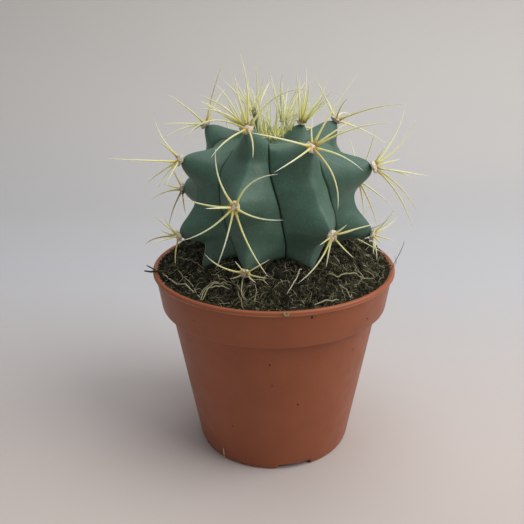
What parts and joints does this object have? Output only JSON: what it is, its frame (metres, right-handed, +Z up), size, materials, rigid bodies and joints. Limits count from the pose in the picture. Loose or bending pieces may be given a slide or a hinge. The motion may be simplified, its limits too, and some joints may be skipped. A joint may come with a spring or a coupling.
{
  "type": "potted round cactus",
  "caption": "Young ribbed barrel cactus with long yellow spines, standing in a round tapered terracotta-coloured nursery pot of peaty soil.",
  "frame": {"origin": "on the ground under the middle of the pot", "axes": "+Z up along the pot's axis, -Y to the front of the picture, +X to its right"},
  "size_m": [0.1306, 0.1152, 0.1734],
  "materials": {
    "pot": "satin terracotta-brown moulded plastic, rim rubbed brighter",
    "soil": "damp dark peat with coarse crumbs and pale fibres",
    "stem": "waxy blue-green skin with a fine pale bloom",
    "spine": "smooth pale yellow spines, golden at the root, on cream wool",
    "fibre": "dry root fibres and a bit of dark twig"
  },
  "bodies": {
    "root": {"pot": "pot", "soil": "soil", "cactus_stem": "stem", "spine_cluster_01": "spine", "spine_cluster_02": "spine", "spine_cluster_03": "spine", "spine_cluster_04": "spine", "spine_cluster_05": "spine", "spine_cluster_06": "spine", "spine_cluster_07": "spine", "spine_cluster_08": "spine", "spine_cluster_09": "spine", "spine_cluster_10": "spine", "spine_cluster_11": "spine", "spine_cluster_12": "spine", "spine_cluster_13": "spine", "spine_cluster_14": "spine", "spine_cluster_15": "spine", "spine_cluster_16": "spine", "spine_cluster_17": "spine", "spine_cluster_18": "spine", "spine_cluster_19": "spine", "spine_cluster_20": "spine", "spine_cluster_21": "spine", "spine_cluster_22": "spine", "crown_spines": "spine", "root_fibre_1": "fibre", "root_fibre_2": "fibre", "root_fibre_3": "fibre", "root_fibre_4": "fibre", "twig": "fibre"}
  },
  "joints": []
}
